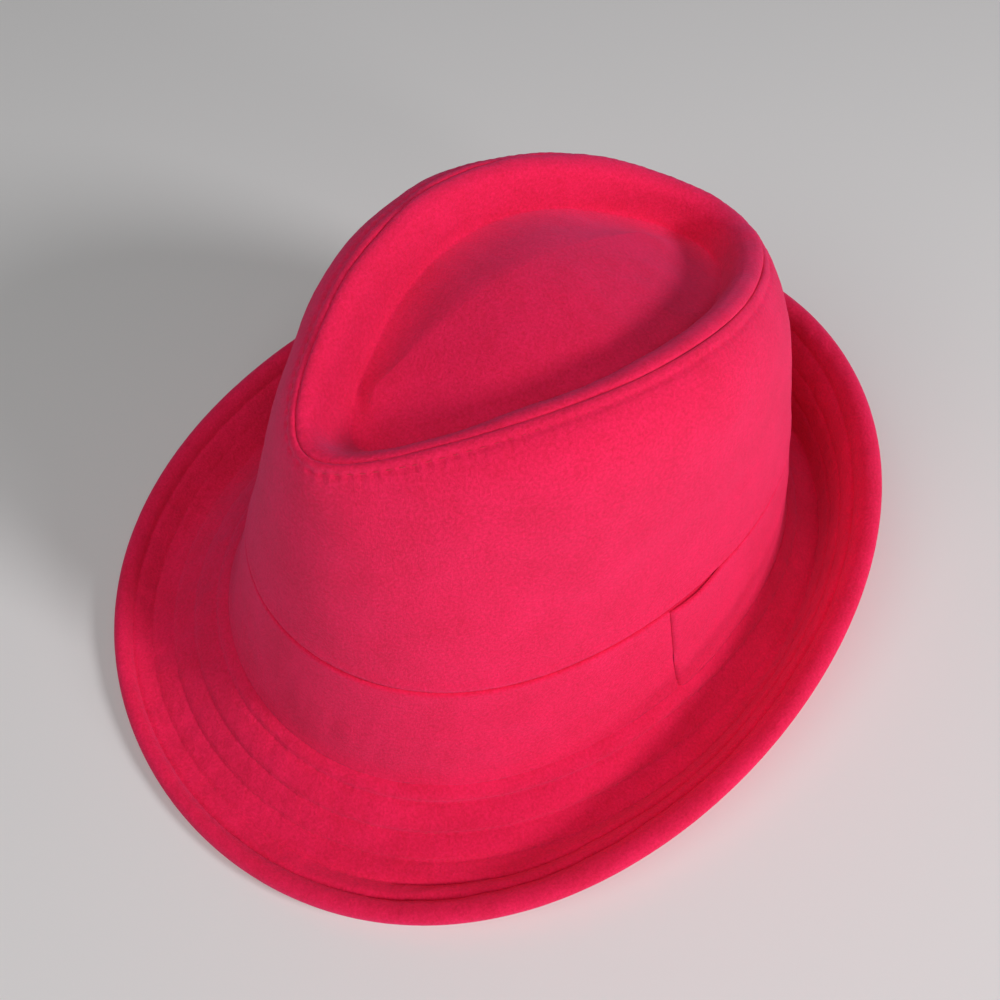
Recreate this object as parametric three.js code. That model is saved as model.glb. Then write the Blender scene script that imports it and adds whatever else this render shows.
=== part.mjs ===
// A soft cloth fedora with a narrow brim: side panel, pressed top panel, hat band and stitched brim.
// Millimetres, +Z up. The hat faces -Y, the wearer's left is +X, and the origin is on the resting
// plane under the middle of the brim.
import * as THREE from 'three';
import { mergeVertices } from 'three/addons/utils/BufferGeometryUtils.js';

// Cloth and clearances
const CLOTH = 2.0;
const BAND_CLOTH = 1.8;
const BRIM_CLOTH = 2.4;
const EDGE_ROLL = 4.6;
const STITCHED_CLOTH = 2.0;
const SEWN_GAP = 0.3;

// Columns round the hat
const COLUMNS = 64;

// Rings of the hat. Each is given at the front, at the sides and at the back:
// reach is how far it swings out sideways, along is its place from front to back, height is above
// the resting plane.
const RINGS = {
  crownFoot: { reach: [90.6, 80.9, 88.6], along: [-100.6, 6, 111.8], height: [13.6, 13.6, 13.6] },
  seam: { reach: [28.3, 45.1, 44.9], along: [-67.7, 10.9, 92.4], height: [122.4, 135.6, 111.7] },
  crease: { reach: [20.5, 35, 30], along: [-52.5, 15.2, 81.6], height: [111.5, 121.5, 101.5] },
  pillowCrest: { reach: [0, 0, 0], along: [-39, 12, 60], height: [118.5, 130, 114.5] },
  brimBreak: { reach: [112, 98.5, 104], along: [-132.5, -0.5, 127], height: [0.9, 0.9, 0.9] },
  brimEdge: { reach: [124.4, 116.4, 119.6], along: [-140.0, -7.1, 140.0], height: [3.1, 21.3, 39.3] },
};

// How the side panel leans and bulges: front, sides, back
const FOOT_LEAN = [16.9, 18.5, 4.5];
const FOOT_FULLNESS = [0.68, 0.7, 0.42];
const SHOULDER_TURN = [68.7, 70.3, 35.5];
const SHOULDER_FULLNESS = [0.04, 0.22, 0.13];
const ABOVE_BAND = [0.25, 0.5, 0.72, 0.88, 1];
const BAND_ROWS = 3;

// The soft ridge inside the crown seam
const RIDGE_RADIUS = 5.6;
const RIDGE_SLOPE = 53;
const RIDGE_SHARES = [0.33, 0.66, 1];

// The pillow inside the dent: where its rings lie on the way out from the crest, the bend where its
// foot turns steeper, how much of the fall is straight at the front, left, back and right, how softly
// it rounds, and how far the crest lies from the middle of the hat
const PILLOW_SHARES = [0.8, 0.6, 0.3, 0.12, 0];
const PILLOW_BEND = 0.62;
const PILLOW_STRAIGHT = [0.85, 0.73, 0.85, 1];
const PILLOW_SOFTNESS = 0.15;
const CREST_ASIDE = -8.5;

// Hat band
const BAND_HEIGHT = [39.8, 35.3, 41.0];
const BAND_END_COLUMN = 16;
const BAND_LAP_COLUMNS = 2;
const BAND_EASE_COLUMNS = 2;

// Brim section
const BRIM_DROP = [14, 34, 38];
const BRIM_TURN_UP = [-8, -3, 14];
const DROP_HOLD = 0.4;
const BREAK_HOLD = 0.45;
const REST_LAND = 7;
const ROLL_WIDTH = 6;
const ROLL_TURN = 0.7;
const FLAT_BEYOND_ROLL = 0.2;
const INNER_SHARES = [0.62, 0.3, 0.1];

const RAD = Math.PI / 180;
const UP = new THREE.Vector3(0, 0, 1);

// A value that passes smoothly round the hat through its front, side and back values.
function around([front, side, back], t) {
  const ends = (front + back) / 2;
  return (ends + side) / 2 + ((front - back) / 2) * Math.cos(t) + ((ends - side) / 2) * Math.cos(2 * t);
}

function ringPoint(ring, t) {
  return new THREE.Vector3(Math.sin(t) * around(ring.reach, t), around(ring.along, t), around(ring.height, t));
}

// Level outward direction of a ring.
function ringOut(ring, t) {
  const step = 0.01;
  const run = ringPoint(ring, t + step).sub(ringPoint(ring, t - step));
  return new THREE.Vector3(run.y, -run.x, 0).normalize();
}

function bezier(points, u) {
  const v = 1 - u;
  const weights = [v * v * v, 3 * u * v * v, 3 * u * u * v, u * u * u];
  return points.reduce((sum, p, i) => sum.addScaledVector(p, weights[i]), new THREE.Vector3());
}

// At the crown seam: outward direction of the cloth, and the direction across the seam.
function seamFrame(t) {
  const turn = around(SHOULDER_TURN, t) * RAD;
  const out = ringOut(RINGS.seam, t);
  return {
    normal: out.clone().multiplyScalar(Math.cos(turn)).addScaledVector(UP, Math.sin(turn)),
    across: out.clone().multiplyScalar(-Math.sin(turn)).addScaledVector(UP, Math.cos(turn)),
  };
}

const angles = Array.from({ length: COLUMNS }, (_, i) => (i / COLUMNS) * 2 * Math.PI);

// Side panel, face of the cloth: u runs from the foot to the seam.
function panelPoint(t, u) {
  const foot = ringPoint(RINGS.crownFoot, t);
  const seam = ringPoint(RINGS.seam, t);
  const rise = seam.z - foot.z;
  const lean = around(FOOT_LEAN, t) * RAD;
  const turn = around(SHOULDER_TURN, t) * RAD;
  const low = foot.clone()
    .addScaledVector(ringOut(RINGS.crownFoot, t), -Math.sin(lean) * rise * around(FOOT_FULLNESS, t))
    .addScaledVector(UP, Math.cos(lean) * rise * around(FOOT_FULLNESS, t));
  const high = seam.clone()
    .addScaledVector(ringOut(RINGS.seam, t), Math.sin(turn) * rise * around(SHOULDER_FULLNESS, t))
    .addScaledVector(UP, -Math.cos(turn) * rise * around(SHOULDER_FULLNESS, t));
  return bezier([foot, low, high, seam], u);
}

// How far up the side panel the band's top edge lies.
function bandTop(t) {
  const height = RINGS.crownFoot.height[0] + around(BAND_HEIGHT, t);
  let [low, high] = [0, 1];
  for (let i = 0; i < 24; i += 1) {
    const middle = (low + high) / 2;
    if (panelPoint(t, middle).z < height) low = middle;
    else high = middle;
  }
  return (low + high) / 2;
}

// One column of the side panel: evenly spaced behind the band, then on up to the seam.
function panelColumn(t) {
  const top = bandTop(t);
  const behindBand = Array.from({ length: BAND_ROWS + 1 }, (_, i) => (top * i) / BAND_ROWS);
  const above = ABOVE_BAND.map((share) => top + (1 - top) * share);
  return [...behindBand, ...above].map((u) => panelPoint(t, u));
}

// Height of the crest that runs from front to back along the pillow.
function crestHeight(along) {
  const [front, , back] = RINGS.pillowCrest.along;
  const [lowFront, middle, lowBack] = RINGS.pillowCrest.height;
  const place = (along - front) / (back - front);
  const swell = middle - (lowFront + lowBack) / 2;
  return lowFront + (lowBack - lowFront) * place + 4 * swell * place * (1 - place);
}

// How much of the pillow's height is left at a share of the way out from its crest.
function pillowClimb(share, t) {
  const [front, left, back, right] = PILLOW_STRAIGHT;
  const turned = ((front - back) / 2) * Math.cos(t) + ((left - right) / 2) * Math.sin(t);
  const middle = (front + left + back + right) / 4;
  const straight = middle + turned + ((front + back - left - right) / 4) * Math.cos(2 * t);
  const crown = (place) => Math.hypot(place, PILLOW_SOFTNESS) - PILLOW_SOFTNESS;
  const foot = (place) => Math.hypot(place - PILLOW_BEND, PILLOW_SOFTNESS) + place - PILLOW_BEND;
  const bent = (foot(share) - foot(0)) / (foot(1) - foot(0));
  return 1 - (straight * crown(share)) / crown(1) - (1 - straight) * bent;
}

// Top panel, face of the cloth: from the seam over the ridge, down to the crease, and up the pillow
// to its crest.
function tipColumn(t) {
  const seam = ringPoint(RINGS.seam, t);
  const crease = ringPoint(RINGS.crease, t);
  const crest = ringPoint(RINGS.pillowCrest, t);
  crest.x += CREST_ASIDE;
  const inward = crease.clone().sub(seam).setZ(0).normalize();
  const turn = around(SHOULDER_TURN, t) * RAD;
  const end = (90 + RIDGE_SLOPE) * RAD;
  const centre = seam.clone()
    .addScaledVector(inward, RIDGE_RADIUS * Math.cos(turn))
    .addScaledVector(UP, -RIDGE_RADIUS * Math.sin(turn));
  const ridge = RIDGE_SHARES.map((share) => {
    const a = turn + (end - turn) * share;
    return centre.clone()
      .addScaledVector(inward, -RIDGE_RADIUS * Math.cos(a))
      .addScaledVector(UP, RIDGE_RADIUS * Math.sin(a));
  });
  const pillow = PILLOW_SHARES.map((share) => {
    const p = crest.clone().lerp(crease, share);
    return p.setZ(crease.z + (crestHeight(p.y) - crease.z) * pillowClimb(share, t));
  });
  return [seam, ...ridge, crease, ...pillow];
}

// Brim, middle of the cloth: stations from the puffed edge in to the crown foot.
function brimColumn(t) {
  const foot = ringPoint(RINGS.crownFoot, t).addScaledVector(UP, -SEWN_GAP - BRIM_CLOTH / 2);
  const low = ringPoint(RINGS.brimBreak, t);
  const edge = ringPoint(RINGS.brimEdge, t);
  const outward = low.clone().sub(foot).setZ(0).normalize();
  const outer = edge.clone().sub(low).setZ(0);
  const outerRun = outer.length();
  outer.normalize();
  const drop = around(BRIM_DROP, t) * RAD;
  const turnUp = around(BRIM_TURN_UP, t) * RAD;
  const innerRun = low.clone().sub(foot).setZ(0).length();
  const inner = [
    foot,
    foot.clone()
      .addScaledVector(outward, innerRun * DROP_HOLD * Math.cos(drop))
      .addScaledVector(UP, -innerRun * DROP_HOLD * Math.sin(drop)),
    low.clone().addScaledVector(outward, -innerRun * DROP_HOLD),
    low,
  ];
  const rise = Math.hypot(outerRun, edge.z - low.z);
  const turned = [
    low,
    low.clone().addScaledVector(outer, outerRun * BREAK_HOLD),
    edge.clone()
      .addScaledVector(outer, -rise * DROP_HOLD * Math.cos(turnUp))
      .addScaledVector(UP, -rise * DROP_HOLD * Math.sin(turnUp)),
    edge,
  ];
  const land = REST_LAND / 2;
  const lip = foot.clone().addScaledVector(outward, -CLOTH);
  const roll = ROLL_WIDTH / rise;
  return [
    edge,
    bezier(turned, 1 - roll / 2),
    bezier(turned, 1 - roll),
    bezier(turned, 1 - roll - FLAT_BEYOND_ROLL),
    low.clone().addScaledVector(outer, land),
    low.clone().addScaledVector(outward, -land),
    ...INNER_SHARES.map((share) => bezier(inner, share)),
    lip,
  ];
}

// Thickness of the brim at each station: the puffed edge, the row of stitching that closes it, the cloth.
function brimThickness(station) {
  if (station < 2) return EDGE_ROLL;
  return station === 2 ? STITCHED_CLOTH : BRIM_CLOTH;
}

// Turns a list of columns into rings.
function toRings(columns) {
  return columns[0].map((_, row) => columns.map((column) => column[row]));
}

// Outward direction of a grid of rings that is closed round the hat.
function gridNormals(rings) {
  const count = rings[0].length;
  return rings.map((ring, row) => ring.map((_, i) => {
    const along = ring[(i + 1) % count].clone().sub(ring[(i + count - 1) % count]);
    const above = rings[Math.min(row + 1, rings.length - 1)][i];
    const below = rings[Math.max(row - 1, 0)][i];
    const normal = along.cross(above.clone().sub(below));
    return normal.lengthSq() > 1e-9 ? normal.normalize() : UP.clone();
  }));
}

function offsetRings(rings, normals, distance) {
  return rings.map((ring, row) => ring.map((p, i) => {
    const amount = Array.isArray(distance) ? distance[row] : distance;
    return p.clone().addScaledVector(normals[row][i], amount);
  }));
}

function meshFrom(name, colour, vertices, triangles) {
  const positions = new Float32Array(triangles.flat().flatMap((i) => vertices[i].toArray()));
  const soup = new THREE.BufferGeometry();
  soup.setAttribute('position', new THREE.BufferAttribute(positions, 3));
  const geometry = mergeVertices(soup, 1e-4);
  geometry.computeVertexNormals();
  const material = new THREE.MeshStandardMaterial({ color: colour, roughness: 0.95, metalness: 0 });
  material.name = name;
  const mesh = new THREE.Mesh(geometry, material);
  mesh.name = name;
  return mesh;
}

// Triangles between neighbouring rings. Each ring closes on itself; the last ring joins the first
// only where the section is a closed loop.
function ringTriangles(rowCount, columnCount, loop) {
  const triangles = [];
  const rows = loop ? rowCount : rowCount - 1;
  for (let row = 0; row < rows; row += 1) {
    const next = (row + 1) % rowCount;
    for (let i = 0; i < columnCount; i += 1) {
      const j = (i + 1) % columnCount;
      const [a, b] = [row * columnCount + i, row * columnCount + j];
      const [c, d] = [next * columnCount + j, next * columnCount + i];
      triangles.push([a, b, c], [a, c, d]);
    }
  }
  return triangles;
}

function crownSide() {
  const face = toRings(angles.map(panelColumn));
  const normals = gridNormals(face);
  const top = face.length - 1;
  normals[top] = angles.map((t) => seamFrame(t).normal);
  face[top].forEach((p, i) => p.addScaledVector(seamFrame(angles[i]).across, -SEWN_GAP / 2));
  const back = offsetRings(face, normals, -CLOTH);
  back[0].forEach((p, i) => p.setZ(face[0][i].z));
  const rings = [...face, ...back.reverse()];
  return meshFrom('crown_side', '#c4142f', rings.flat(), ringTriangles(rings.length, COLUMNS, true));
}

function crownTip() {
  const face = toRings(angles.map(tipColumn));
  const normals = gridNormals(face);
  normals[0] = angles.map((t) => seamFrame(t).normal);
  face[0].forEach((p, i) => p.addScaledVector(seamFrame(angles[i]).across, SEWN_GAP / 2));
  const back = offsetRings(face, normals, -CLOTH);
  back[back.length - 1] = face[face.length - 1].map((p) => p.clone().addScaledVector(UP, -CLOTH));
  const rings = [...back.reverse(), ...face];
  return meshFrom('crown_tip', '#c4142f', rings.flat(), ringTriangles(rings.length, COLUMNS, false));
}

function brim() {
  const middle = toRings(angles.map(brimColumn));
  const normals = gridNormals(middle);
  const half = middle.map((_, station) => brimThickness(station) / 2);
  const top = offsetRings(middle, normals, half);
  const under = offsetRings(middle, normals, half.map((h) => -h));
  const out = middle[0].map((p, i) => p.clone().sub(middle[1][i]).normalize());
  const lift = (turn, side) => middle[0].map((p, i) => p.clone()
    .addScaledVector(out[i], (EDGE_ROLL / 2) * Math.cos(turn))
    .addScaledVector(normals[0][i], side * (EDGE_ROLL / 2) * Math.sin(turn)));
  const rings = [...top.reverse(), lift(ROLL_TURN, 1), lift(ROLL_TURN, -1), ...under];
  rings.forEach((ring) => ring.forEach((p) => p.setZ(Math.max(p.z, 0))));
  const triangles = ringTriangles(rings.length, COLUMNS, true).map(([a, b, c]) => [a, c, b]);
  return meshFrom('brim', '#c4142f', rings.flat(), triangles);
}

// The band is one strip. It starts at its folded end, passes round the back and the front of the
// crown, and ends tucked under its own start.
function hatBand() {
  const face = toRings(angles.map(panelColumn)).slice(0, BAND_ROWS + 1);
  const normals = gridNormals(toRings(angles.map(panelColumn)));
  const sections = [];
  for (let k = 0; k <= COLUMNS + BAND_LAP_COLUMNS; k += 1) {
    const column = (BAND_END_COLUMN + k) % COLUMNS;
    const raised = 1 - THREE.MathUtils.smoothstep((k - BAND_LAP_COLUMNS) / BAND_EASE_COLUMNS, 0, 1);
    const clear = SEWN_GAP + raised * (BAND_CLOTH + SEWN_GAP);
    const near = face.map((ring, row) => ring[column].clone().addScaledVector(normals[row][column], clear));
    const far = near.map((p, row) => p.clone().addScaledVector(normals[row][column], BAND_CLOTH));
    [near[0], far[0]].forEach((p) => p.setZ(face[0][column].z));
    sections.push([...far, ...near.reverse()]);
  }
  const size = (BAND_ROWS + 1) * 2;
  const triangles = [];
  for (let s = 0; s + 1 < sections.length; s += 1) {
    for (let k = 0; k < size; k += 1) {
      const m = (k + 1) % size;
      const [a, b] = [s * size + k, (s + 1) * size + k];
      const [c, d] = [(s + 1) * size + m, s * size + m];
      triangles.push([a, b, c], [a, c, d]);
    }
  }
  const last = (sections.length - 1) * size;
  for (let row = 0; row < BAND_ROWS; row += 1) {
    const [a, b, c, d] = [row, row + 1, size - 2 - row, size - 1 - row];
    triangles.push([a, b, c], [a, c, d]);
    triangles.push([last + a, last + c, last + b], [last + a, last + d, last + c]);
  }
  return meshFrom('hat_band', '#c4142f', sections.flat(), triangles);
}

const hat = new THREE.Group();
hat.name = 'fedora';
hat.add(crownSide(), crownTip(), hatBand(), brim());

export default hat;
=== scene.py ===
"""A soft cloth fedora, cut and sewn: side panel, pressed tip, hat band and row-stitched brim."""
import math

import bpy
import numpy as np
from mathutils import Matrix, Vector


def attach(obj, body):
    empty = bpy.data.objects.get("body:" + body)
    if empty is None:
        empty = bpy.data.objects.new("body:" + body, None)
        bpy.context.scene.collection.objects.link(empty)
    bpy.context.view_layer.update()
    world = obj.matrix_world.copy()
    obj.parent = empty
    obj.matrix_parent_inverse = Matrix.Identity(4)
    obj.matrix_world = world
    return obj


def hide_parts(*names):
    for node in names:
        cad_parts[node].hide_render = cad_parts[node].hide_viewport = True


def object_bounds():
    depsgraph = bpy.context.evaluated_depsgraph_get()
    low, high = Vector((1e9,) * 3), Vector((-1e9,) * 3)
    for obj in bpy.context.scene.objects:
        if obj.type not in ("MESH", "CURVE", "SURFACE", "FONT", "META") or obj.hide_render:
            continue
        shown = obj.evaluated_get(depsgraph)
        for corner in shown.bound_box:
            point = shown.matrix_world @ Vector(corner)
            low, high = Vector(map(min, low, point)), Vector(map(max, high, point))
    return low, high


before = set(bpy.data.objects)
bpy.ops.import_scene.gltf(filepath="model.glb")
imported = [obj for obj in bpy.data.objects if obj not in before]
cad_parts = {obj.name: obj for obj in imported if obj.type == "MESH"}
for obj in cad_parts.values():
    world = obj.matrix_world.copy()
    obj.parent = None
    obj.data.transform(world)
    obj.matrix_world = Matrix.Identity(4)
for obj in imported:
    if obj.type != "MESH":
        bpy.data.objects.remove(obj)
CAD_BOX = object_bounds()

MM = 0.001
TURN = 2 * math.pi
UP = np.array([0.0, 0.0, 1.0])

# Cloth, in millimetres
CLOTH = 2.0
BAND_CLOTH = 1.2
BRIM_CLOTH = 2.2
SEWN_GAP = 0.3

# Sewing, in millimetres: length of a stitch, thickness of the thread, distance of the topstitching from
# the crown seam, radius of the rolled seam edges and the slit left between them
STITCH = 3.4
THREAD = 0.24
TOPSTITCH = 3.4
SEAM_ROLL = 0.85
SEAM_GAP = 0.14

# A stitch of thread: share of its length, height and width in thread thicknesses
STITCH_PROFILE = ((0.0, -0.75, 0.55), (0.14, -0.1, 0.9), (0.34, 0.3, 1.0), (0.5, 0.36, 1.0),
                  (0.66, 0.3, 1.0), (0.86, -0.1, 0.9), (1.0, -0.75, 0.55))
THREAD_SIDES = 5
STITCH_FILLED = 0.74
CROWN_THREAD_SUNK = 0.35
BRIM_THREAD_SUNK = 0.7

# Rings of the hat, each at the front, at the sides and at the back: reach is how far it swings out
# sideways, along is its place from front to back, height is above the resting surface.
RINGS = {
    "crown_foot": {"reach": (90.6, 80.9, 88.6), "along": (-100.6, 6, 111.8), "height": (13.6, 13.6, 13.6)},
    "seam": {"reach": (28.3, 45.1, 44.9), "along": (-67.7, 10.9, 92.4), "height": (122.4, 135.6, 111.7)},
    "crease": {"reach": (20.5, 35, 30), "along": (-52.5, 15.2, 81.6), "height": (111.5, 121.5, 101.5)},
    "crest": {"reach": (0, 0, 0), "along": (-39, 12, 60), "height": (118.5, 130, 114.5)},
    "brim_break": {"reach": (112, 98.5, 104), "along": (-132.5, -0.5, 127), "height": (0.9, 0.9, 0.9)},
    "brim_edge": {"reach": (124.4, 116.4, 119.6), "along": (-140, -7.1, 140), "height": (3.1, 21.3, 39.3)},
}
DRAWN_SIZE = (236.7, 284.2, 136.2)
FIT = (np.array(CAD_BOX[1]) - np.array(CAD_BOX[0])) / (np.array(DRAWN_SIZE) * MM)

# In the tables below, rows are given as the distance from the seam at which a spacing ends, and the
# spacing; waves as height, wavelength and seed.

# Side panel, at the front, the sides and the back: angles in degrees, fullness as a share of its rise
FOOT_LEAN = (16.9, 18.5, 4.5)
FOOT_FULLNESS = (0.68, 0.70, 0.42)
SHOULDER_TURN = (68.7, 70.3, 35.5)
SHOULDER_FULLNESS = (0.04, 0.22, 0.13)
SIDE_ROWS = ((7.5, 0.4), (13, 0.9))
SIDE_WAVES = ((0.40, 52, 3), (0.14, 17, 4))
SIDE_GRAIN = ((0.04, 5, 5),)

# Where the topstitching draws the side panel down: along its line, and further at each needle hole
STITCH_SINK = 0.18
HOLE_SINK = 0.34
STITCH_SINK_WIDTH = 0.95
SEAM_SINK = 0.22

# Tip: the ridge inside the seam, and the pillow inside the dent. Bend is how far out the steeper foot
# of the pillow begins, straight is the share of the fall before it.
RIDGE_RADIUS = 5.6
RIDGE_SLOPE = math.radians(53)
PILLOW_BEND = 0.62
PILLOW_STRAIGHT = (0.85, 0.73, 0.85, 1.0)
PILLOW_SOFTNESS = 0.19
CREST_ASIDE = -8.5
TIP_ROWS = ((6, 0.45), (24, 0.7))
TIP_WAVES = ((0.35, 34, 8), (0.12, 12, 9), (0.04, 5, 10))

# Hat band: it starts at its folded end on the wearer's left and is tucked under it after one turn.
# Edge and fold are the parts that round over; pinch is how far it draws the crown in.
BAND_HEIGHT = (39.8, 35.3, 41.0)
BAND_END = math.radians(90)
BAND_LAP = math.radians(11.25)
BAND_EASE = math.radians(11.25)
BAND_PINCH = 1.2
BAND_CLEAR = 0.08
BAND_FLARE = 0.9
BAND_EDGE = 0.025
BAND_FOLD = math.radians(1.9)
BAND_GAPE = 0.4
BAND_CRUMPLES = ((0.24, 11, 15), (0.10, 4.5, 16))
BAND_WAVES = ((0.2, 34, 14),)

# Brim section: angles in degrees; the hem's width at the front, the wearer's left, the back and the
# wearer's right, and its half thickness; the rows of stitching as shares of the way from hem to crown
BRIM_DROP = (14, 34, 38)
BRIM_TURN_UP = (-3, 6, 18)
EDGE_REACH = 1.6
HEM = (6.2, 10.5, 9.0, 8.2)
HEM_PUFF = 2.9
STITCHED_THIN = 0.85
HEM_ROUND = 0.42
ROW_LINES = (0, 0.17, 0.36, 0.57, 0.81, 1)
ROW_SINK_WIDTH = 0.85
BRIM_LUMPS = ((0.15, 9, 24), (0.08, 4, 25))
BRIM_SWAY = ((0.35, 48, 21), (0.12, 16, 22))

# How the cloth of the brim stands up between its rows of stitching: degrees from the front towards
# the wearer's left, and height
ROW_PUFF = ((-30, 0.35), (5, 0.6), (45, 1.25), (80, 0.85), (115, 0.4), (180, 0.3), (270, 0.0))

# Studio, in metres and watts: lamps by name, azimuth, elevation, size, power and colour, all at one
# distance from the hat
LAMPS = (
    ("key", 112, 30, 0.42, 17.0, "#fff8ff"),
    ("upper_side", 72, 62, 0.7, 6.0, "#fff8ff"),
    ("low_side", 95, 8, 0.3, 7.2, "#fff8ff"),
    ("front_fill", 5, 50, 1.2, 8.4, "#fffcff"),
)
LAMP_DISTANCE = 1.8
LAMP_TARGET = (0, 0, 0.05)
ROOM_COLOUR = "#f0f2f6"
ROOM_STRENGTH = 0.07
PAPER_COLOUR = "#e8ebe6"
PAPER_SIZE = 6.0

# Camera: lens and sensor in millimetres; azimuth, elevation and distance in metres from its target
LENS = 40.47
SENSOR = 36
CAMERA_TARGET = (0.0072, -0.0082, 0.0513)
CAMERA_VIEW = (49.9, 56.2, 0.3636)


# ------------------------------------------------------------------ shape of the hat

def around(values, t):
    """A value that passes smoothly round the hat through its front, side and back values."""
    front, side, back = values
    ends = (front + back) / 2
    return (ends + side) / 2 + (front - back) / 2 * np.cos(t) + (ends - side) / 2 * np.cos(2 * t)


def around_four(values, t):
    """The same with four values: front, wearer's left, back and wearer's right."""
    front, left, back, right = values
    turned = (front - back) / 2 * np.cos(t) + (left - right) / 2 * np.sin(t)
    return (front + left + back + right) / 4 + turned + (front + back - left - right) / 4 * np.cos(2 * t)


def ring(name, t):
    """Points of a ring at the angles t, fitted to the frame's own size."""
    sizes = RINGS[name]
    points = np.stack([np.sin(t) * around(sizes["reach"], t), around(sizes["along"], t),
                       around(sizes["height"], t)], -1)
    return points * FIT


def unit(v):
    """Directions of length 1."""
    return v / np.maximum(np.linalg.norm(v, axis=-1, keepdims=True), 1e-9)


def ring_out(name, t):
    """Level outward direction of a ring."""
    run = ring(name, t + 0.01) - ring(name, t - 0.01)
    return unit(np.stack([run[..., 1], -run[..., 0], np.zeros_like(t)], -1))


def bezier(points, u):
    """A cubic curve through arrays of points, for every u in a column of values."""
    u = np.asarray(u)[:, None, None]
    v = 1 - u
    a, b, c, d = points
    return v ** 3 * a + 3 * u * v * v * b + 3 * u * u * v * c + u ** 3 * d


def panel_curve(t, u):
    """Face of the side panel: u runs from the foot to the crown seam."""
    foot, seam = ring("crown_foot", t), ring("seam", t)
    rise = (seam[:, 2] - foot[:, 2])[:, None]
    lean = np.radians(around(FOOT_LEAN, t))[:, None]
    turn = np.radians(around(SHOULDER_TURN, t))[:, None]
    low_reach = rise * around(FOOT_FULLNESS, t)[:, None]
    high_reach = rise * around(SHOULDER_FULLNESS, t)[:, None]
    low = foot + low_reach * (UP * np.cos(lean) - ring_out("crown_foot", t) * np.sin(lean))
    high = seam - high_reach * (UP * np.cos(turn) - ring_out("seam", t) * np.sin(turn))
    return bezier((foot, low, high, seam), u)


def seam_frame(t):
    """At the crown seam: outward direction of the cloth, and the direction across the seam, upward."""
    turn = np.radians(around(SHOULDER_TURN, t))[:, None]
    out = ring_out("seam", t)
    return out * np.cos(turn) + UP * np.sin(turn), UP * np.cos(turn) - out * np.sin(turn)


def spline(controls, per_span):
    """A soft surface drawn through rings of control points, fixed at its first and last ring."""
    rings = [controls[0]] * 2 + list(controls) + [controls[-1]] * 2
    rows = []
    for k in range(len(rings) - 3):
        a, b, c, d = rings[k:k + 4]
        for u in np.arange(per_span) / per_span:
            second = 3 * u ** 3 - 6 * u ** 2 + 4
            third = -3 * u ** 3 + 3 * u ** 2 + 3 * u + 1
            rows.append(((1 - u) ** 3 * a + second * b + third * c + u ** 3 * d) / 6)
    rows.append(controls[-1])
    return np.array(rows)


def crest_height(along):
    """Height of the crest that runs from front to back along the pillow."""
    front, _, back = RINGS["crest"]["along"]
    low_front, middle, low_back = RINGS["crest"]["height"]
    place = (along - front) / (back - front)
    swell = middle - (low_front + low_back) / 2
    return low_front + (low_back - low_front) * place + swell * np.sin(place * math.pi)


def pillow_climb(share, straight):
    """How much of the pillow's height is left at a share of the way out from its crest: the crest is
    rounded, and a part of the fall is kept for the steeper foot beyond the bend."""
    def crown(place):
        return math.hypot(place, PILLOW_SOFTNESS) - PILLOW_SOFTNESS

    def foot(place):
        beyond = place - PILLOW_BEND
        return math.hypot(beyond, PILLOW_SOFTNESS) + beyond
    bent = (foot(share) - foot(0)) / (foot(1) - foot(0))
    return 1 - straight * crown(share) / crown(1) - (1 - straight) * bent


def tip_curve(t):
    """Face of the tip: over the ridge, down to the crease, then up the pillow to its crest."""
    seam, crease, crest = (ring(name, t) for name in ("seam", "crease", "crest"))
    crest = crest + np.array([CREST_ASIDE, 0, 0])
    inward = unit((crease - seam) * (1, 1, 0))
    turn = np.radians(around(SHOULDER_TURN, t))[:, None]
    end = math.pi / 2 + RIDGE_SLOPE
    centre = seam + RIDGE_RADIUS * (inward * np.cos(turn) - UP * np.sin(turn))
    ridge = []
    for share in (0.0, 0.25, 0.5, 0.75, 1.0):
        a = turn + (end - turn) * share
        ridge.append(centre + RIDGE_RADIUS * (UP * np.sin(a) - inward * np.cos(a)))
    slope = [ridge[-1] + (crease - ridge[-1]) * share for share in (0.45, 0.8)]
    straight = around_four(PILLOW_STRAIGHT, t)
    pillow = []
    for share in (0.93, 0.82, 0.68, 0.54, 0.4, 0.28, 0.18, 0.09, 0.0):
        step = crest + (crease - crest) * share
        step[:, 2] = crease[:, 2] + (crest_height(step[:, 1]) - crease[:, 2]) * pillow_climb(share, straight)
        pillow.append(step)
    return spline(ridge + slope + [crease, crease] + pillow, 6)


def brim_curve(t):
    """Middle of the brim's cloth, from the centre of its puffed edge in to the crown foot."""
    foot = ring("crown_foot", t) - UP * (SEWN_GAP + BRIM_CLOTH / 2)
    low, edge = ring("brim_break", t), ring("brim_edge", t)
    outward, outer = (low - foot) * (1, 1, 0), (edge - low) * (1, 1, 0)
    inner_run = np.linalg.norm(outward, axis=1, keepdims=True)
    outer_run = np.linalg.norm(outer, axis=1, keepdims=True)
    outward, outer = outward / inner_run, outer / outer_run
    drop = np.radians(around(BRIM_DROP, t))[:, None]
    rise_angle = np.radians(around(BRIM_TURN_UP, t))[:, None]
    reach = np.hypot(outer_run, (edge - low)[:, 2:])
    falling = (foot, foot + inner_run * 0.4 * (outward * np.cos(drop) - UP * np.sin(drop)),
               low - outward * inner_run * 0.4, low)
    rising = (low, low + outer * outer_run * 0.32,
              edge - reach * 0.34 * (outer * np.cos(rise_angle) + UP * np.sin(rise_angle)), edge)
    lip = foot - outward * CLOTH
    turned_up = bezier(rising, np.linspace(1, 0, 60))
    dropped = bezier(falling, np.linspace(1, 0, 60))[1:]
    return np.concatenate([turned_up, dropped, lip[None]])


# ------------------------------------------------------------------ working with grids of cloth

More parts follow.
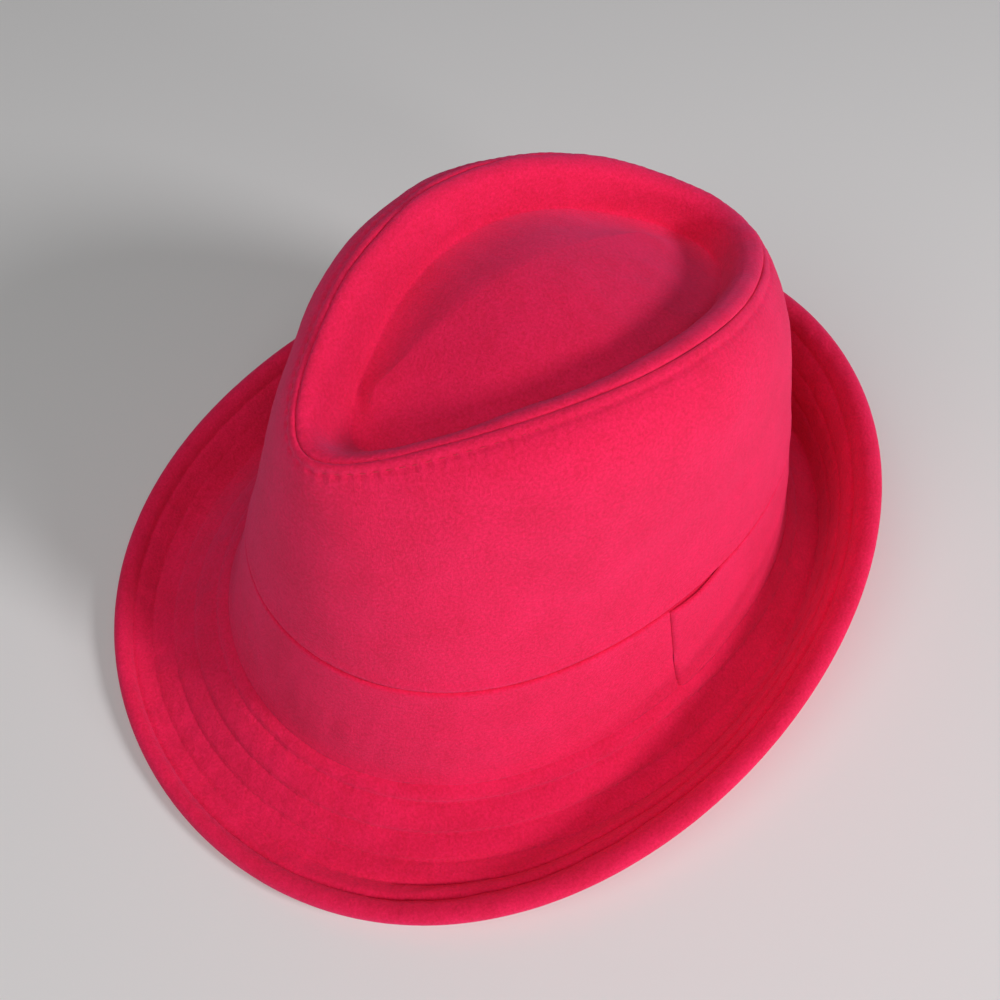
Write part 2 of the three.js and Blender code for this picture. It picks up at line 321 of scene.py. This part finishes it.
def lengths_down(rows):
    """Distance travelled down each column of a grid."""
    steps = np.linalg.norm(np.diff(rows, axis=0), axis=2)
    return np.concatenate([np.zeros((1, rows.shape[1])), np.cumsum(steps, axis=0)])


def resample(rows, places):
    """Points at given distances down each column; places is one list, or one for each column."""
    travelled = lengths_down(rows)
    places = np.asarray(places, float)
    if places.ndim == 1:
        places = np.repeat(places[:, None], rows.shape[1], 1)
    result = np.empty(places.shape + (3,))
    for column in range(rows.shape[1]):
        for axis in range(3):
            line = rows[:, column, axis]
            result[:, column, axis] = np.interp(places[:, column], travelled[:, column], line)
    return result


def grid_normals(rows, closed=True):
    """Outward directions of a grid whose rows run round the hat and whose columns climb or go inward."""
    along = np.roll(rows, -1, 1) - np.roll(rows, 1, 1) if closed else np.gradient(rows, axis=1)
    normals = np.cross(along, np.gradient(rows, axis=0))
    normals[np.linalg.norm(normals, axis=2) < 1e-7] = UP
    return unit(normals)


def waves(points, wavelength, seed):
    """Smooth unevenness between about -1 and 1 at the scale of one wavelength, the same every time."""
    rng = np.random.default_rng(seed)
    total = np.zeros(points.shape[:-1])
    for _ in range(9):
        direction = unit(rng.normal(size=3))
        length = wavelength * rng.uniform(0.65, 1.5)
        total += np.sin(points @ direction * TURN / length + rng.uniform(0, TURN))
    return total / 3.6


def uneven(points, table):
    """Waves added up from a table of height, wavelength and seed."""
    return sum(height * waves(points, wavelength, seed) for height, wavelength, seed in table)


def dip(distance, width):
    """1 on a line, falling smoothly to 0 at about two widths from it."""
    return np.exp(-(distance / width) ** 2)


def ease(share):
    """A smooth step from 0 to 1."""
    share = np.clip(share, 0, 1)
    return share * share * (3 - 2 * share)


def round_ring(points):
    """Distance travelled round a closed ring at each of its points, and its whole length."""
    steps = np.linalg.norm(np.roll(points, -1, 0) - points, axis=1)
    return np.concatenate([[0], np.cumsum(steps)[:-1]]), steps.sum()


def near_rows(table):
    """Distances from the crown seam for closely set rows; the table gives where each spacing ends."""
    start = SEAM_GAP / 2 + SEAM_ROLL
    parts = []
    for end, spacing in table:
        parts.append(np.arange(start, end, spacing))
        start = end
    return np.concatenate(parts)


def build(name, vertices, faces, finish, node=None):
    """Makes a piece from vertices in millimetres and a list of faces, and hands it to the frame."""
    mesh = bpy.data.meshes.new(name)
    mesh.from_pydata((np.asarray(vertices, float).reshape(-1, 3) * MM).tolist(), [], faces)
    mesh.polygons.foreach_set("use_smooth", [True] * len(mesh.polygons))
    mesh.materials.append(finish)
    mesh.update()
    piece = bpy.data.objects.new(name, mesh)
    bpy.context.collection.objects.link(piece)
    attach(piece, "root")
    if node:
        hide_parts(node)


def grid_faces(row_count, column_count, wrap_rows=False, wrap_columns=True, flip=False):
    """Four-sided faces of a grid, joined round its rows or columns where they close."""
    rows = row_count if wrap_rows else row_count - 1
    columns = column_count if wrap_columns else column_count - 1
    r, c = np.meshgrid(np.arange(rows), np.arange(columns), indexing="ij")
    r2, c2 = (r + 1) % row_count, (c + 1) % column_count
    quads = np.stack([r * column_count + c, r * column_count + c2, r2 * column_count + c2,
                      r2 * column_count + c], -1).reshape(-1, 4)
    return (quads[:, ::-1] if flip else quads).tolist()


def stitches(name, routes):
    """Lays thread stitches along routes. Each route is a list of (start, end, outward) arrays, one
    row for each stitch; a stitch is a short arched length of thread that dives at both ends."""
    starts, ends, outs = (np.concatenate(parts) for parts in zip(*routes))
    run = unit(ends - starts)
    across = unit(np.cross(run, outs))
    lift = np.cross(across, run)
    rows = []
    for place, height, width in STITCH_PROFILE:
        centre = starts + (ends - starts) * place + lift * height * THREAD
        for k in range(THREAD_SIDES):
            a = TURN * k / THREAD_SIDES
            rows.append(centre + (across * math.cos(a) + lift * math.sin(a)) * THREAD / 2 * width)
    sections = len(STITCH_PROFILE)
    last = (sections - 1) * THREAD_SIDES
    tube = np.array(grid_faces(sections, THREAD_SIDES))
    fan = range(1, THREAD_SIDES - 1)
    caps = np.array([(k + 1, k, 0) for k in fan] + [(last, last + k, last + k + 1) for k in fan])
    offsets = (np.arange(len(starts)) * sections * THREAD_SIDES)[:, None, None]
    faces = (tube + offsets).reshape(-1, 4).tolist() + (caps + offsets).reshape(-1, 3).tolist()
    build(name, np.stack(rows, 1), faces, SEWING_THREAD)


def stitch_route(points, normals, count):
    """Splits a closed line of stitching into stitches, leaving the gap that shows between them."""
    travelled, length = round_ring(points)
    travelled = np.append(travelled, length)
    pitch = length / count
    begin = (np.arange(count) + (1 - STITCH_FILLED) / 2) * pitch
    finish = begin + pitch * STITCH_FILLED

    def at(distance, line):
        closed = np.concatenate([line, line[:1]])
        return np.stack([np.interp(distance, travelled, closed[:, axis]) for axis in range(3)], -1)
    return at(begin, points), at(finish, points), unit(at((begin + finish) / 2, normals))


# ------------------------------------------------------------------ finishes

def linear(hex_colour):
    """sRGB hex to linear colour."""
    parts = [int(hex_colour[i:i + 2], 16) / 255 for i in (1, 3, 5)]
    return tuple(c / 12.92 if c <= 0.04045 else ((c + 0.055) / 1.055) ** 2.4 for c in parts) + (1.0,)


def add(tree, kind, settings=None, links=None):
    """Adds a node with its settings and its links; a link is an output socket."""
    node = tree.nodes.new(kind)
    for key, value in (settings or {}).items():
        if isinstance(key, int) or key in node.inputs:
            node.inputs[key].default_value = value
        else:
            setattr(node, key, value)
    for key, socket in (links or {}).items():
        tree.links.new(socket, node.inputs[key])
    return node


def new_finish(name):
    """An empty material and its node tree."""
    material = bpy.data.materials.new(name)
    material.use_nodes = True
    material.node_tree.nodes.clear()
    return material, material.node_tree


def milled_flannel(name, shades):
    """Wool-blend flannel, milled and brushed on its face: a dull, strong red with a short raised nap
    that lightens a little where the surface turns away, and faint clouding where it lies in tufts."""
    material, tree = new_finish(name)
    place = add(tree, "ShaderNodeTexCoord").outputs["Object"]
    clouds = add(tree, "ShaderNodeTexNoise", {"Scale": 70.0, "Detail": 3.0, "Roughness": 0.55},
                 {"Vector": place})
    tufts = add(tree, "ShaderNodeTexNoise", {"Scale": 1150.0, "Detail": 4.0, "Roughness": 0.7},
                {"Vector": place})
    soft = add(tree, "ShaderNodeMath", {"operation": "MULTIPLY", 1: 0.26}, {0: clouds.outputs["Fac"]})
    mixed = add(tree, "ShaderNodeMath", {"operation": "MULTIPLY_ADD", 1: 0.74},
                {0: tufts.outputs["Fac"], 2: soft.outputs[0]})
    colour = add(tree, "ShaderNodeValToRGB", None, {"Fac": mixed.outputs[0]})
    ramp = colour.color_ramp
    ramp.elements[0].position, ramp.elements[1].position = 0.36, 0.66
    ramp.elements[0].color, ramp.elements[1].color = (linear(c) for c in shades)
    fibres = add(tree, "ShaderNodeTexNoise",
                 {"Scale": 2200.0, "Detail": 3.0, "Roughness": 0.7, "Distortion": 1.2}, {"Vector": place})
    height = add(tree, "ShaderNodeMath", {"operation": "MULTIPLY_ADD", 1: 0.5},
                 {0: fibres.outputs["Fac"], 2: tufts.outputs["Fac"]})
    bump = add(tree, "ShaderNodeBump", {"Strength": 0.75, "Distance": 0.0005}, {"Height": height.outputs[0]})
    shader = add(tree, "ShaderNodeBsdfPrincipled",
                 {"Roughness": 0.95, "IOR": 1.45, "Specular IOR Level": 0.5, "Sheen Weight": 0.2,
                  "Sheen Roughness": 0.5, "Sheen Tint": linear("#ff90ee")},
                 {"Base Color": colour.outputs["Color"], "Normal": bump.outputs["Normal"]})
    add(tree, "ShaderNodeOutputMaterial", None, {"Surface": shader.outputs["BSDF"]})
    return material


def spun_thread(name, shades):
    """Spun polyester thread in the colour of the cloth: smoother and a little brighter than the nap."""
    material, tree = new_finish(name)
    place = add(tree, "ShaderNodeTexCoord").outputs["Object"]
    plies = add(tree, "ShaderNodeTexNoise", {"Scale": 2500.0, "Detail": 2.0}, {"Vector": place})
    colour = add(tree, "ShaderNodeValToRGB", None, {"Fac": plies.outputs["Fac"]})
    ramp = colour.color_ramp
    ramp.elements[0].color, ramp.elements[1].color = (linear(c) for c in shades)
    bump = add(tree, "ShaderNodeBump", {"Strength": 0.3, "Distance": 0.0001},
               {"Height": plies.outputs["Fac"]})
    shader = add(tree, "ShaderNodeBsdfPrincipled",
                 {"Roughness": 0.6, "IOR": 1.5, "Specular IOR Level": 0.3, "Sheen Weight": 0.2},
                 {"Base Color": colour.outputs["Color"], "Normal": bump.outputs["Normal"]})
    add(tree, "ShaderNodeOutputMaterial", None, {"Surface": shader.outputs["BSDF"]})
    return material


FLANNEL = milled_flannel("brushed_red_flannel", ("#e10b3e", "#fd1959"))
SEWING_THREAD = spun_thread("red_polyester_thread", ("#c80c36", "#e51c48"))


# ------------------------------------------------------------------ side panel

COLUMNS = 480
ANGLES = np.arange(COLUMNS) / COLUMNS * TURN
SEAM_POINTS = ring("seam", ANGLES)
SEAM_STITCHES = round(round_ring(SEAM_POINTS)[1] / STITCH)


def seam_phase():
    """Phase of the topstitching round the crown seam: a whole turn for each stitch, 0 at a hole."""
    travelled, length = round_ring(SEAM_POINTS)
    return travelled / length * SEAM_STITCHES * TURN


def edge_turn(face_edge, normal, across):
    """Rows of a cloth edge that rolls over into a seam, from its face down to its back."""
    rows = []
    for a in np.radians((25, 50, 72, 90)):
        rows.append(face_edge + across * SEAM_ROLL * math.sin(a) - normal * SEAM_ROLL * (1 - math.cos(a)))
    nearly_through = 0.95
    rows.append(rows[-1] - normal * (CLOTH - SEAM_ROLL) * nearly_through)
    return np.array(rows)


def crown_side():
    """The side panel, from the crown seam down to the foot, with one row of topstitching."""
    normal, across = seam_frame(ANGLES)
    whole = panel_curve(ANGLES, np.linspace(1, 0, 160))
    near = near_rows(SIDE_ROWS)
    total = lengths_down(whole)[-1]
    band_top = np.array([np.interp(-(z[-1] + height), -z, run) for z, height, run in
                         zip(whole[..., 2].T, around(BAND_HEIGHT, ANGLES), lengths_down(whole).T)])
    stops = (near[-1], band_top - 6, band_top + 2, total)
    rest = [a + (b - a) * k / count for a, b, count in zip(stops, stops[1:], (24, 22, 12))
            for k in range(1, count + 1)]
    places = np.concatenate([np.repeat(near[:, None], COLUMNS, 1), rest])[::-1]
    face = resample(whole, places[::-1])[::-1]
    normals = grid_normals(face)
    normals[-1] = normal
    phase = seam_phase()
    hole = 0.5 + 0.5 * np.cos(phase)
    above = face[..., 2] - face[0, 0, 2] - around(BAND_HEIGHT, ANGLES)
    # The cloth swells between the seam and the stitching, and puckers from hole to hole beside it.
    lift = 0.12 * np.sin(np.clip(places / TOPSTITCH, 0, 1) * math.pi)
    lift -= (STITCH_SINK + HOLE_SINK * hole) * dip(places - TOPSTITCH, STITCH_SINK_WIDTH)
    lift += 0.09 * np.cos(phase + 1.1 + 0.25 * places) * dip(places - TOPSTITCH - 1.6, 2.0)
    lift += 0.05 * np.cos(phase + 0.6) * dip(places - TOPSTITCH / 2, 1.1)
    lift -= SEAM_SINK * dip(places, 1.0)
    free = ease(above / 30)
    lift += free * uneven(face, SIDE_WAVES) + uneven(face, SIDE_GRAIN)
    # The band draws the crown in below its upper edge, and the cloth bulges a little just above it.
    lift -= BAND_PINCH * (1 - ease((above - 0.1) / 1.9))
    lift += 0.3 * dip(above - 2.6, 2.0)
    face = face + normals * lift[..., None]
    turn = edge_turn(face[-1], normal, across)
    back = face[::3][::-1] - normals[::3][::-1] * CLOTH
    back[-1, :, 2] = face[0, :, 2]
    rows = np.concatenate([face, turn, back])
    build("crown_side_panel", rows, grid_faces(len(rows), COLUMNS, wrap_rows=True),
          FLANNEL, "crown_side")
    row = int(np.argmin(np.abs(places[:, 0] - TOPSTITCH)))
    line = face[row] - normals[row] * (CROWN_THREAD_SUNK * THREAD)
    stitches("crown_topstitching", [stitch_route(line, normals[row], SEAM_STITCHES)])


# ------------------------------------------------------------------ tip

def crown_tip():
    """The pressed top panel, from the crown seam to the crest of its pillow."""
    normal, across = seam_frame(ANGLES)
    whole = tip_curve(ANGLES)
    total = lengths_down(whole)[-1]
    near = near_rows(TIP_ROWS)
    rest = np.linspace(0, 1, 40)[1:, None] * (total - near[-1]) + near[-1]
    places = np.concatenate([np.repeat(near[:, None], COLUMNS, 1), rest])
    face = resample(whole, places)
    normals = grid_normals(face)
    normals[0] = normal
    # Near the crest the two slopes of the pillow share one direction, straight up.
    crest_share = dip(total - places, 7)[..., None]
    normals = unit(normals * (1 - crest_share) + UP * crest_share)
    phase = seam_phase()
    fade = ease((total - places) / 12)
    lift = 0.10 * dip(places - 2.4, 1.4) - SEAM_SINK * dip(places, 1.0)
    lift += 0.05 * np.cos(phase + 2) * dip(places - 2, 1.6)
    lift += fade * uneven(face, TIP_WAVES)
    face = face + normals * lift[..., None]
    turn = edge_turn(face[0], normal, -across)[::-1]
    back = (face - normals * CLOTH)[1::2][::-1]
    rows = np.concatenate([back, turn, face])
    build("crown_tip_panel", rows, grid_faces(len(rows), COLUMNS),
          FLANNEL, "crown_tip")


# ------------------------------------------------------------------ hat band

def hat_band():
    """One strip round the foot of the crown; its folded end lies over its tucked-in start."""
    step = TURN / COLUMNS
    t = np.arange(BAND_END, BAND_END + TURN + BAND_LAP + step / 2, step)
    whole = panel_curve(t, np.linspace(0, 1, 200))
    foot = whole[0, 0, 2]
    tops = around(BAND_HEIGHT, t)
    share = np.concatenate([[0, 0.006, 0.016, 0.032, 0.055, 0.085], np.linspace(0.12, 0.92, 22),
                            [0.945, 0.965, 0.98, 0.99, 0.997, 1]])
    near = np.empty((len(share), len(t), 3))
    for c in range(len(t)):
        for axis in range(3):
            near[:, c, axis] = np.interp(foot + share * tops[c], whole[:, c, 2], whole[:, c, axis])
    normals = grid_normals(near, closed=False)
    share = share[:, None]
    from_end = t - BAND_END
    pressed = 0.5 + 0.5 * ease(share / 0.6)
    raised = pressed * (1 - ease((from_end - BAND_LAP * 0.5) / BAND_EASE))
    thinning = pressed * (1 - ease((from_end - TURN - BAND_LAP * 0.5) / BAND_EASE))
    tail = np.where(t < BAND_END + TURN, 1, thinning)
    top_turn = np.clip((share - (1 - BAND_EDGE)) / BAND_EDGE, 0, 1)
    end_turn = np.clip(1 - from_end / BAND_FOLD, 0, 1)
    thickness = BAND_CLOTH * (0.12 + 0.88 * np.sqrt(1 - top_turn ** 2))
    thickness = thickness * (0.2 + 0.8 * np.sqrt(1 - end_turn ** 2)) * tail
    inside = BAND_CLEAR - BAND_PINCH + raised * (BAND_CLOTH + BAND_CLEAR)
    gape = BAND_GAPE * dip(from_end - BAND_LAP * 0.55, BAND_LAP * 0.5) * ease((share - 0.45) / 0.55)
    gape = gape * (1 - 0.75 * end_turn)
    # The foot of the band flares on to the brim and follows its fall.
    flare = BAND_FLARE * np.clip(1 - share / 0.12, 0, 1) ** 2
    crumple = uneven(near, BAND_CRUMPLES) * dip(share - 0.3, 0.36)
    crumple = (crumple + uneven(near, BAND_WAVES)) * np.sin(share * math.pi)
    inner = near + normals * (inside + gape + flare * 0.4)[..., None]
    far = near + normals * (inside + gape + flare + crumple + thickness)[..., None]
    drop = np.clip(1 - share / 0.06, 0, 1) ** 2
    slope = np.tan(np.radians(around(BRIM_DROP, t)))
    far[..., 2] -= drop * (slope * (inside + BAND_CLOTH + BAND_FLARE) + 0.1)
    loop = np.concatenate([far, inner[::-1]])
    size, width = len(loop), len(t)
    faces = grid_faces(size, width, wrap_rows=True, wrap_columns=False)
    for column, flip in ((0, True), (width - 1, False)):
        for row in range(len(share) - 1):
            a, b = row * width + column, (row + 1) * width + column
            c, d = (size - 2 - row) * width + column, (size - 1 - row) * width + column
            faces.append([a, b, c, d] if flip else [d, c, b, a])
    build("hat_band_strip", loop, faces, FLANNEL, "hat_band")


# ------------------------------------------------------------------ brim

BRIM_COLUMNS = 760
HEM_STEPS = (0, 0.012, 0.045, 0.1, 0.17, 0.26, 0.36, 0.47, 0.58, 0.68, 0.77, 0.85, 0.91, 0.96, 1)
ROW_STEPS = (0.05, 0.11, 0.18, 0.28, 0.40, 0.53, 0.66, 0.77, 0.86, 0.93, 1)


def brim_half_thickness(hem_share, body_share, body_run, phase, row_puff):
    """Half the brim's thickness: a puffed hem, then cloth drawn down by each row of stitching and
    standing up between the rows."""
    outer = np.clip(hem_share / HEM_ROUND, 0, 1)
    inner = np.clip((hem_share - HEM_ROUND) / (1 - HEM_ROUND), 0, 1)
    puffed = STITCHED_THIN + (HEM_PUFF - STITCHED_THIN) * np.cos(inner * math.pi / 2) ** 1.3
    half = np.where(hem_share < HEM_ROUND, HEM_PUFF * np.sqrt(1 - (1 - outer) ** 2), puffed)
    sewn = hem_share > 0.9
    for k, (line, following) in enumerate(zip(ROW_LINES, ROW_LINES[1:])):
        between = np.clip((body_share - line) / (following - line), 0, 1)
        half = half + row_puff * np.sin(between ** 0.62 * math.pi) ** 0.8
        hole = 0.5 + 0.5 * np.cos(phase + k * 1.7)
        drawn = (0.08 + 0.22 * row_puff) * (1 + 0.8 * hole)
        half = half - drawn * dip((body_share - line) * body_run, ROW_SINK_WIDTH) * sewn
    return half


def brim():
    """The brim: two layers quilted together by rows of stitching inside its puffed hem."""
    t = np.arange(BRIM_COLUMNS) / BRIM_COLUMNS * TURN
    middle = brim_curve(t)
    outward = unit(middle[0] - middle[1])
    middle = np.concatenate([(middle[0] + outward * EDGE_REACH)[None], middle])
    total = lengths_down(middle)[-1]
    hem = around_four(HEM, t)
    body = np.concatenate([a + (b - a) * np.array(ROW_STEPS) for a, b in zip(ROW_LINES, ROW_LINES[1:])])
    hem_share = np.concatenate([HEM_STEPS, np.ones(len(body))])[:, None]
    body_share = np.concatenate([np.zeros(len(HEM_STEPS)), body])[:, None]
    places = hem_share * hem + body_share * (total - hem)
    rows = resample(middle, places)
    normals = grid_normals(rows)
    travelled, length = round_ring(ring("brim_edge", t))
    phase = travelled / length * round(length / STITCH) * TURN
    direction, height = zip(*ROW_PUFF)
    row_puff = np.interp(np.degrees(t), direction, height, period=360)
    half = brim_half_thickness(hem_share, body_share, total - hem, phase, row_puff)
    # Unevenness dies out towards the crown and the edge, and where the brim lies on the surface.
    calm = np.clip((total - places) / 6, 0, 1) * np.clip(places / 3, 0.25, 1)
    lumps = calm * uneven(rows, BRIM_LUMPS)
    sway = calm * uneven(rows, BRIM_SWAY) * np.clip(rows[..., 2] / 4 - 0.2, 0.15, 1)
    top = rows + normals * (half + sway + lumps)[..., None]
    under = rows - normals * (half - sway + lumps * 0.7)[..., None]
    under[..., 2] = np.maximum(under[..., 2], 0)
    top[..., 2] = np.maximum(top[..., 2], 0.3)
    loop = np.concatenate([top[::-1], under[2::2]])
    build("quilted_brim", loop, grid_faces(len(loop), BRIM_COLUMNS, wrap_rows=True, flip=True),
          FLANNEL, "brim")
    upper, lower = [], []
    for k in range(len(ROW_LINES) - 1):
        row = len(HEM_STEPS) - 1 + k * len(ROW_STEPS)
        for surface, side, routes in ((top, 1, upper), (under, -1, lower)):
            outs = normals[row] * side
            line = surface[row] - outs * BRIM_THREAD_SUNK * THREAD
            _, run = round_ring(line)
            start, end, out = stitch_route(line, outs, round(run / STITCH))
            clear = np.minimum(start[:, 2], end[:, 2]) > (0.5 * THREAD + 0.25)
            routes.append((start[clear], end[clear], out[clear]))
    stitches("brim_stitching_top", upper)
    stitches("brim_stitching_under", lower)


# ------------------------------------------------------------------ stage, light and camera

def stage():
    """A plain pale floor under the hat."""
    size = PAPER_SIZE
    mesh = bpy.data.meshes.new("studio_floor")
    corners = [(-size, -size, 0), (size, -size, 0), (size, size, 0), (-size, size, 0)]
    mesh.from_pydata(corners, [], [(0, 1, 2, 3)])
    floor = bpy.data.objects.new("studio_floor", mesh)
    bpy.context.collection.objects.link(floor)
    material, tree = new_finish("pale_studio_paper")
    shader = add(tree, "ShaderNodeBsdfPrincipled",
                 {"Base Color": linear(PAPER_COLOUR), "Roughness": 0.9, "Specular IOR Level": 0.1})
    add(tree, "ShaderNodeOutputMaterial", None, {"Surface": shader.outputs["BSDF"]})
    mesh.materials.append(material)


def aim(thing, place, target):
    """Puts a lamp or a camera at a place, looking at a target."""
    direction = Vector(target) - Vector(place)
    thing.location = place
    thing.rotation_euler = direction.to_track_quat("-Z", "Y").to_euler()


def polar(azimuth, elevation, distance, centre):
    """A place at a compass angle from the front towards the wearer's left, and a height angle."""
    a, e = math.radians(azimuth), math.radians(elevation)
    return tuple(c + distance * d for c, d in
                 zip(centre, (math.sin(a) * math.cos(e), -math.cos(a) * math.cos(e), math.sin(e))))


def lights():
    """Soft round lamps, and a dim room round them."""
    for name, azimuth, elevation, size, power, colour in LAMPS:
        lamp = bpy.data.lights.new(name, "AREA")
        lamp.shape = "DISK"
        lamp.size = size
        lamp.energy = power
        lamp.color = linear(colour)[:3]
        holder = bpy.data.objects.new(name, lamp)
        bpy.context.collection.objects.link(holder)
        aim(holder, polar(azimuth, elevation, LAMP_DISTANCE, LAMP_TARGET), LAMP_TARGET)
    world = bpy.data.worlds.new("soft_room")
    world.use_nodes = True
    background = world.node_tree.nodes["Background"].inputs
    background["Color"].default_value = linear(ROOM_COLOUR)
    background["Strength"].default_value = ROOM_STRENGTH
    bpy.context.scene.world = world


def camera():
    """The view from above the wearer's left front."""
    lens = bpy.data.cameras.new("camera")
    lens.sensor_width = SENSOR
    lens.lens = LENS
    lens.clip_start = 0.01
    holder = bpy.data.objects.new("camera", lens)
    bpy.context.collection.objects.link(holder)
    aim(holder, polar(*CAMERA_VIEW, CAMERA_TARGET), CAMERA_TARGET)
    bpy.context.scene.camera = holder


camera()
lights()
stage()
crown_side()
crown_tip()
hat_band()
brim()

bpy.context.scene.view_settings.view_transform = "Standard"
